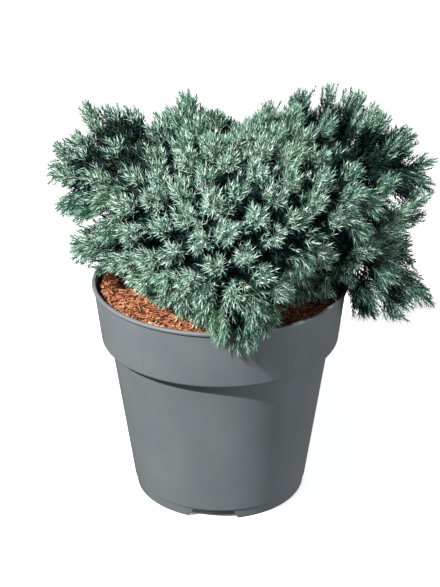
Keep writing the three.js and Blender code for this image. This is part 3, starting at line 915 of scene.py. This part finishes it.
def shade_depth(points):
    """How far points lie under the crown's surface as it would be without its pockets. Needles
    deeper than SHADE_DEPTH by this measure get dark colours as painted shade.
    """
    shares = bump_shares(unit(points - CROWN_CENTRE))
    return depth_under_surface(points) - shares[:, IS_POCKET] @ BUMP_HEIGHTS[IS_POCKET]


def clear_of_pot(points, room=0.0):
    """Whether points stay off the rim, the collar and the mulch."""
    radius = np.hypot(points[:, 0], points[:, 1])
    z = points[:, 2]
    over_mulch = z > MULCH_HIGH + room
    over_rim = z > POT_HEIGHT + room
    outside = z > LOWEST_NEEDLE
    inner = radius < RIM_RADIUS - RIM_ZONE
    above = radius < RIM_RADIUS + room
    return np.where(inner, over_mulch, np.where(above, over_rim, outside))


def mass_at(name, index, azimuth, elevation, bough_height):
    """A mass of foliage: its name, and its bough's height, end and direction."""
    outwards = heading(azimuth, elevation)
    reach = crown_reach(outwards[None])[0]
    depth = min(MASS_DEPTH, MASS_DEPTH_SHARE * reach)
    top = CROWN_CENTRE + outwards * reach
    root = top - outwards * depth
    root[2] = max(root[2], ROOT_FLOOR)
    return {
        "label": f"{name}_{index + 1}",
        "index": index,
        "height": bough_height,
        "axis": unit(outwards + UP * AXIS_LIFT),
        "root": root,
        "centre": lerp(root, top, MASS_MIDDLE),
    }


def mass_places():
    numbers = seeded(SEED)
    found = []
    for name, (count, elevation, first, bough_height) in TIERS.items():
        for index in range(count):
            sway = AZIMUTH_SWAY * (2 * next(numbers) - 1)
            azimuth = first + 360 * index / count + sway
            found.append(mass_at(name, index, azimuth, elevation, bough_height))
    return found


masses = mass_places()
mass_centres = np.array([mass["centre"] for mass in masses])


def owners_of(tips):
    """The mass whose middle is nearest to each tip."""
    return np.linalg.norm(tips[:, None] - mass_centres, axis=2).argmin(axis=1)


def leading_tips():
    outwards = np.array([heading(*angles) for angles in LEADING_TIPS.values()])
    tips = CROWN_CENTRE + outwards * (crown_reach(outwards) + SLACK_MOST)[:, None]
    return tips, owners_of(tips)


def spray_tips(count, numbers, turn_start, near, far):
    """Tips dealt over the crown by the golden angle, each from near to far out of its surface."""
    index = np.arange(count)
    share = (index + 0.5) / count
    rise = lerp(1, LOWEST_RISE, share**RISE_POWER)
    flat = np.sqrt(1 - rise**2)
    turn = index * GOLDEN_ANGLE + turn_start
    outwards = np.stack([flat * np.cos(turn), flat * np.sin(turn), rise], 1)
    slack = lerp(near, far, np.array([next(numbers) for _ in index]))
    tips = CROWN_CENTRE + outwards * (crown_reach(outwards) + slack)[:, None]
    return tips, owners_of(tips)


def sprays():
    """Root, tip, direction and owner of every spray, the leading ones first."""
    numbers = seeded(SEED)
    layers = [leading_tips()]
    for count, turn_start, near, far in SPRAY_LAYERS:
        layers.append(spray_tips(count, numbers, turn_start, near, far))
    tips = np.concatenate([layer[0] for layer in layers])
    owners = np.concatenate([layer[1] for layer in layers])
    leading = np.arange(len(tips)) < len(LEADING_TIPS) + LEADER_COUNT
    centres = mass_centres[owners]
    straight = unit(tips - centres)
    outwards = unit(tips - CROWN_CENTRE)
    beyond_rim = np.hypot(tips[:, 0], tips[:, 1]) > RIM_RADIUS
    hangs = (tips[:, 2] < centres[:, 2]) & beyond_rim
    height = np.clip(outwards[:, 2] + 0.4, 0, 1)
    lift = np.where(hangs, -SHOOT_DROOP, lerp(*SHOOT_LIFT, height))
    direction = unit(FAN_SHARE * straight + (1 - FAN_SHARE) * outwards + UP * lift[:, None])
    room = np.linalg.norm(tips - centres, axis=1)
    length = np.minimum(np.where(leading, LEADER_LENGTH, FILLER_LENGTH), SPRAY_ROOM * room)
    return {
        "root": tips - direction * length[:, None],
        "tip": tips,
        "direction": direction,
        "length": length,
        "owner": owners,
        "leading": leading,
    }


# Limbs with the bark's relief


def bezier(points, t):
    """A Bezier curve of three or four control points at an array of places."""
    points = np.array(points, float)
    while len(points) > 1:
        if points.ndim == 2:
            points = np.repeat(points[:, None], len(t), axis=1)
        points = points[:-1] * (1 - t)[:, None] + points[1:] * t[:, None]
    return points[0]


def tube(path, radius_at, sides):
    """Points and quads of a tube along a path. radius_at takes the place along it and the angle."""
    steps = len(path)
    tangents = unit(np.gradient(path, axis=0))
    normal = across(tangents[:1])[0][0]
    angles = np.arange(sides) * 2 * math.pi / sides
    rings = np.empty((steps, sides, 3))
    for i, tangent in enumerate(tangents):
        normal = unit(normal - tangent * (normal @ tangent))
        other = np.cross(tangent, normal)
        radius = radius_at(i / (steps - 1), angles)
        first = (np.cos(angles) * radius)[:, None] * normal
        second = (np.sin(angles) * radius)[:, None] * other
        rings[i] = path[i] + first + second
    return rings.reshape(-1, 3), ring_quads(steps, sides)


def ragged(t, angles, seed, length):
    """Relief of flaking bark: ridges that wander along the limb, as a share of its radius."""
    along = t * length
    wander = 1.3 * np.sin(along * 0.09 + seed)
    ridges = np.sin(7 * angles + wander) * np.sin(along * 0.21 + 3 * angles + seed)
    flakes = np.sin(13 * angles - along * 0.5 + seed) * np.sin(along * 0.8 + 5 * angles)
    return RIDGE_RELIEF * ridges + FLAKE_RELIEF * flakes


def trunk_path(t):
    middle = lerp(SOIL_TOP, TRUNK_TOP, 0.5)
    return bezier([(0, 0, SOIL_TOP + GAP), (0, 0, middle), (*TRUNK_LEAN, TRUNK_TOP)], t)


def trunk_radius(t, angles):
    flare = TRUNK_FLARE * math.exp(-t * TRUNK_FLARE_FADE)
    taper = lerp(TRUNK_FOOT_RADIUS, TRUNK_TOP_RADIUS, t)
    ribbed = 1 + flare * (1 + TRUNK_RIB_DEPTH * np.cos(TRUNK_RIBS * angles))
    return taper * (ribbed + ragged(t, angles, TRUNK_BARK_SEED, TRUNK_TOP - SOIL_TOP) - BARK_INSET)


def bough_radius(seed, length):
    """A bough's radius, as a rule that tube takes."""

    def radius_at(t, angles):
        taper = lerp(BOUGH_FOOT_RADIUS, BOUGH_TIP_RADIUS, t)
        return taper * (1 - BARK_INSET + ragged(t, angles, seed, length))

    return radius_at


def bough_path(mass):
    """A bough leaves the trunk sideways and rising, and arrives along its mass's own direction."""
    height = mass["height"] + BOUGH_STAGGER * (mass["index"] % 2)
    foot = trunk_path(np.array([height]))[0]
    axis = mass["axis"]
    tip = mass["root"] - axis * GAP
    reach = np.linalg.norm(tip - foot)
    sideways = unit(np.array([axis[0], axis[1], BOUGH_RISE]))
    leave = foot + sideways * BOUGH_LEAVE * reach
    arrive = tip - axis * BOUGH_ARRIVE * reach
    return bezier([foot, leave, arrive, tip], np.linspace(0, 1, BOUGH_STEPS)), reach


def capped(points, quads, sides):
    """Triangles of a tube with both ends closed."""
    triangles = np.concatenate([quads[:, [0, 1, 2]], quads[:, [0, 2, 3]]])
    last = len(points) - sides
    fans = []
    for j in range(1, sides - 1):
        fans.append((0, j + 1, j))
        fans.append((last, last + j, last + j + 1))
    return np.concatenate([triangles, np.array(fans)])


def add_limbs():
    bark = bark_material()
    trunk_line = trunk_path(np.linspace(0, 1, TRUNK_STEPS))
    points, quads = tube(trunk_line, trunk_radius, TRUNK_SIDES)
    faces = capped(points, quads, TRUNK_SIDES)
    place(mesh_object("trunk_bark", points, faces, [bark], smooth=True), "bark", "trunk")
    for number, mass in enumerate(masses):
        path, reach = bough_path(mass)
        points, quads = tube(path, bough_radius(number, reach), BOUGH_SIDES)
        faces = capped(points, quads, BOUGH_SIDES)
        name = "bough_bark_" + mass["label"]
        bough = mesh_object(name, points, faces, [bark], smooth=True)
        place(bough, "bark", "bough_" + mass["label"])


# Twigs as three-sided tubes, many at a time


def slim_tubes(paths, radii, sides=3):
    """Triangles of many tubes. paths is (tubes, steps, 3) and radii (tubes, steps)."""
    count, steps, _ = paths.shape
    tangents = unit(np.gradient(paths, axis=1))
    first, second = across(tangents.reshape(-1, 3))
    first = first.reshape(paths.shape)
    second = second.reshape(paths.shape)
    angles = np.arange(sides) * 2 * math.pi / sides
    cosines = np.cos(angles)[None, None, :, None]
    sines = np.sin(angles)[None, None, :, None]
    spokes = cosines * first[:, :, None] + sines * second[:, :, None]
    rings = paths[:, :, None] + radii[:, :, None, None] * spokes
    triangles = ring_quads(steps, sides)[:, [0, 1, 2, 0, 2, 3]].reshape(-1, 3)
    faces = triangles[None] + steps * sides * np.arange(count)[:, None, None]
    return rings.reshape(-1, 3), faces.reshape(-1, 3)


def curved(roots, starts, ends, lengths, places):
    """Points of lines that set out along starts and end up running along ends."""
    t = places[..., None]
    drift = starts[:, None] * (t - t * t / 2) + ends[:, None] * (t * t / 2)
    return roots[:, None] + lengths[:, None, None] * drift


# Shoots and needles


NEEDLE_LOOKS = [
    ("needle_blue", (0.034, 0.118, 0.094)),
    ("needle_deep", (0.012, 0.066, 0.062)),
    ("needle_grey", (0.07, 0.178, 0.138)),
    ("needle_green", (0.068, 0.17, 0.084)),
    ("needle_mint", (0.22, 0.38, 0.24)),
    ("bloom_pale", (0.63, 0.8, 0.69)),
    ("bloom_blue", (0.27, 0.48, 0.39)),
    # The last two looks are painted shade: dark colours for needles deep in the crown
    ("needle_shade", (0.004, 0.022, 0.022)),
    ("bloom_shade", (0.024, 0.064, 0.058)),
]

# The first looks are dealt out by spray in these shares. The others are told by their places
# in the list: each pale inner face follows its pair
SPRAY_SHARES = [0.38, 0.24, 0.22, 0.16]
MINT = 4
PALE = 5
SHADE = 7


def grow_shoots(spray, rng):
    """The shoots of every spray: its own tip and side shoots round its axis."""
    rows = []
    for number in range(len(spray["tip"])):
        direction = spray["direction"][number]
        length = spray["length"][number]
        root = spray["root"][number]
        first, second = (vectors[0] for vectors in across(direction[None]))
        sides = LEADER_SIDES if spray["leading"][number] else FILLER_SIDES
        small = lerp(SMALL_SPRAY_SHARE, 1, length / LEADER_LENGTH)
        start_turn = rng.uniform(0, 2 * math.pi)
        own_root = root + direction * OWN_SHOOT_START * length
        rows.append((own_root, direction, direction, (1 - OWN_SHOOT_START) * length, number))
        for side in range(sides):
            along = lerp(*SIDE_SPAN, (side + rng.uniform(*SIDE_STEP)) / sides)
            turn = start_turn + side * GOLDEN_ANGLE + rng.normal(0, SIDE_TURN_SPREAD)
            outwards = math.cos(turn) * first + math.sin(turn) * second
            wide = math.radians(SIDE_ANGLE + rng.normal(0, SIDE_ANGLE_SPREAD))
            tight = math.radians(SIDE_ANGLE_END + rng.normal(0, SIDE_ANGLE_END_SPREAD))
            start = math.cos(wide) * direction + math.sin(wide) * outwards
            end = unit(math.cos(tight) * direction + math.sin(tight) * outwards + UP * SIDE_LIFT)
            side_length = lerp(*SIDE_LENGTHS, along) * rng.uniform(*SIDE_LENGTH_SPREAD) * small
            rows.append((root + direction * along * length, start, end, side_length, number))
    keys = ("root", "start", "end", "length", "spray")
    return {key: np.array(values) for key, values in zip(keys, zip(*rows))}


def within(points):
    """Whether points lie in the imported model's box, which the finest needles may pass a little."""
    low = np.array(cad_box[0]) / MM - BOX_EXCESS
    high = np.array(cad_box[1]) / MM + BOX_EXCESS
    return ((points > low) & (points < high)).all(axis=1)


def shoot_lines(shoots, stations):
    """Points of every shoot at the same few places along it."""
    places = np.tile(np.array(stations), (len(shoots["length"]), 1))
    return curved(shoots["root"], shoots["start"], shoots["end"], shoots["length"], places)


def trim_shoots(shoots):
    """Shortens shoots that reach too far, and leaves out those that would touch the pot."""
    for _ in range(TRIM_ROUNDS):
        tips = shoot_lines(shoots, [1.0])[:, 0] + shoots["end"] * TIP_NEEDLES
        over = depth_under_surface(tips) < -SLACK_MOST - TRIM_SLACK
        over |= ~within(tips) | ~clear_of_pot(tips, SHOOT_CLEARANCE)
        shoots["length"] = np.where(over, shoots["length"] * TRIM_SHARE, shoots["length"])
    ends = shoot_lines(shoots, [1.0])[:, 0]
    good = shoots["length"] > SHORTEST_SHOOT
    good &= clear_of_pot(ends, SHOOT_CLEARANCE) & clear_of_pot(shoots["root"], SHOOT_CLEARANCE)
    return {key: value[good] for key, value in shoots.items()}


def grow_needles(shoots, rng):
    """Whorls of needles along every shoot, as arrays with one row a needle."""
    length = shoots["length"]
    whorls = np.maximum(FEWEST_WHORLS, (length / WHORL_SPACING).astype(int))
    per_shoot = IN_WHORL * whorls
    shoot = np.repeat(np.arange(len(length)), per_shoot)
    count = len(shoot)
    order = np.arange(count) - np.repeat(np.cumsum(per_shoot) - per_shoot, per_shoot)
    whorl = order // IN_WHORL
    t = (whorl + FIRST_WHORL + rng.uniform(*WHORL_SPREAD, count)) / whorls[shoot]
    t = np.clip(t, 0, 1)
    start = shoots["start"][shoot]
    end = shoots["end"][shoot]
    drift = start * (t - t * t / 2)[:, None] + end * (t * t / 2)[:, None]
    base = shoots["root"][shoot] + length[shoot, None] * drift
    along = unit(start * (1 - t)[:, None] + end * t[:, None])
    first, second = across(along)
    turn = (order % IN_WHORL) * 2 * math.pi / IN_WHORL + (whorl % 2) * math.pi / IN_WHORL
    turn = turn + rng.normal(0, NEEDLE_TURN_SPREAD, count)
    outwards = np.cos(turn)[:, None] * first + np.sin(turn)[:, None] * second
    spread = rng.normal(0, NEEDLE_ANGLE_SPREAD, count)
    angle = np.radians(lerp(*NEEDLE_ANGLE, t**NEEDLE_ANGLE_POWER) + spread)
    direction = np.cos(angle)[:, None] * along + np.sin(angle)[:, None] * outwards
    tip_size = lerp(1, END_SIZE, np.clip((t - (1 - END_SHARE)) / END_SHARE, 0, 1))
    foot_size = lerp(FOOT_SIZE, 1, np.clip(t / FOOT_SHARE, 0, 1))
    needle = NEEDLE_LENGTH * (tip_size * foot_size) * rng.uniform(*NEEDLE_LENGTH_SPREAD, count)
    tip = base + direction * needle[:, None]
    keep = depth_under_surface(base) < NEEDLE_DEPTH
    keep &= clear_of_pot(tip) & clear_of_pot(base) & within(tip) & within(base)
    rows = {
        "shoot": shoot,
        "t": t,
        "base": base,
        "tip": tip,
        "side": np.cross(along, outwards),
        "out": outwards,
        "along": along,
    }
    return {key: value[keep] for key, value in rows.items()}


def needle_mesh(needles):
    """Each needle is an awl: a flat inner face and a keeled back that meet in its point."""
    half = needles["side"] * (NEEDLE_WIDTH / 2)
    back = unit(needles["out"] - KEEL_LEAN * needles["along"])
    left = needles["base"] + half
    right = needles["base"] - half
    keel = needles["base"] + back * NEEDLE_THICKNESS
    points = np.stack([left, right, keel, needles["tip"]], 1)
    corners = np.array([(0, 1, 3), (1, 2, 3), (2, 0, 3)])
    faces = corners[None] + 4 * np.arange(len(points))[:, None, None]
    return points.reshape(-1, 3), faces.reshape(-1, 3)


def needle_colours(needles, shoots, spray_kind, rng):
    """Looks of each needle's inner face and its two backs.

    The back has its spray's own look, and a lighter one at fresh tips. The inner face is pale.
    Needles deep in the crown get dark looks on all their faces instead: painted shade.
    """
    back = spray_kind[shoots["spray"][needles["shoot"]]]
    fresh = (needles["t"] > FRESH_FROM) & (rng.random(len(back)) < FRESH_SHARE)
    back = np.where(fresh, MINT, back)
    inner = np.where(rng.random(len(back)) < PALE_SHARE, PALE, PALE + 1)
    # Needles deep under the crown's smooth surface are painted dark: painted shade
    painted_shade = shade_depth(needles["base"]) > SHADE_DEPTH
    back = np.where(painted_shade, SHADE, back)
    inner = np.where(painted_shade, SHADE + 1, inner)
    return np.stack([inner, back, back], 1)


def add_needles(spray, shoots, kinds, rng):
    """One piece of needles to each mass of foliage."""
    needles = grow_needles(shoots, rng)
    looks = []
    for name, colour in NEEDLE_LOOKS:
        looks.append(plain_material(name, colour, NEEDLE_ROUGHNESS, NEEDLE_GLOSS))
    owner = spray["owner"][shoots["spray"]][needles["shoot"]]
    colours = needle_colours(needles, shoots, kinds, rng)
    for number, mass in enumerate(masses):
        mine = owner == number
        points, faces = needle_mesh({key: value[mine] for key, value in needles.items()})
        name = "needles_" + mass["label"]
        piece = mesh_object(name, points, faces, looks, colours[mine].reshape(-1))
        place(piece, "needles", "foliage_" + mass["label"])


def add_shoot_stems(shoots):
    paths = shoot_lines(shoots, SHOOT_STATIONS)
    radii = np.tile(np.array(SHOOT_RADII), (len(paths), 1))
    points, faces = slim_tubes(paths, radii)
    green = plain_material("shoot_stem", (0.11, 0.15, 0.07), 0.7)
    place(mesh_object("shoot_stems", points, faces, [green]), "needles")


def mass_stems():
    """Stems from each bough's tip to the middle of its mass."""
    t = np.linspace(0, 1, MASS_STEM_STEPS)
    paths = [lerp(mass["root"], mass["centre"], t[:, None]) for mass in masses]
    radii = np.tile(lerp(BOUGH_TIP_RADIUS, MASS_STEM_TIP, t), (len(paths), 1))
    return slim_tubes(np.stack(paths), radii, MASS_STEM_SIDES)


def spray_twigs(spray):
    """Twigs from the masses' stems to every spray."""
    owners = spray["owner"]
    roots = np.array([mass["root"] for mass in masses])
    axes = np.array([mass["axis"] for mass in masses])
    rng = np.random.default_rng(SEED + 1)
    share = rng.uniform(*TWIG_STARTS, len(owners))[:, None]
    starts = lerp(roots[owners], mass_centres[owners], share)
    ends = spray["root"] + spray["direction"] * TWIG_OVERLAP * spray["length"][:, None]
    reach = np.linalg.norm(ends - starts, axis=1)[:, None]
    leave = starts + axes[owners] * TWIG_LEAVE * reach
    arrive = ends - spray["direction"] * TWIG_ARRIVE * reach
    controls = (starts, leave, arrive, ends)
    places = np.linspace(0, 1, TWIG_STEPS)
    paths = np.empty((len(owners), TWIG_STEPS, 3))
    for i, t in enumerate(places):
        s = 1 - t
        weights = (s**3, 3 * s * s * t, 3 * s * t**2, t**3)
        paths[:, i] = sum(weight * control for weight, control in zip(weights, controls))
    radii = np.tile(lerp(*TWIG_RADII, places), (len(paths), 1))
    return slim_tubes(paths, radii, TWIG_SIDES)


def add_twigs(spray):
    stem_points, stem_faces = mass_stems()
    twig_points, twig_faces = spray_twigs(spray)
    points = np.concatenate([stem_points, twig_points])
    faces = np.concatenate([stem_faces, twig_faces + len(stem_points)])
    place(mesh_object("twigs", points, faces, [bark_material()], smooth=True), "bark")


def add_crown():
    rng = np.random.default_rng(SEED)
    spray = sprays()
    kinds = rng.choice(len(SPRAY_SHARES), len(spray["tip"]), p=SPRAY_SHARES)
    shoots = trim_shoots(grow_shoots(spray, rng))
    add_needles(spray, shoots, kinds, rng)
    add_shoot_stems(shoots)
    add_twigs(spray)


add_camera()
add_stage()
add_pot()
give_soil()
add_mulch_bed()
add_chips()
add_limbs()
add_crown()
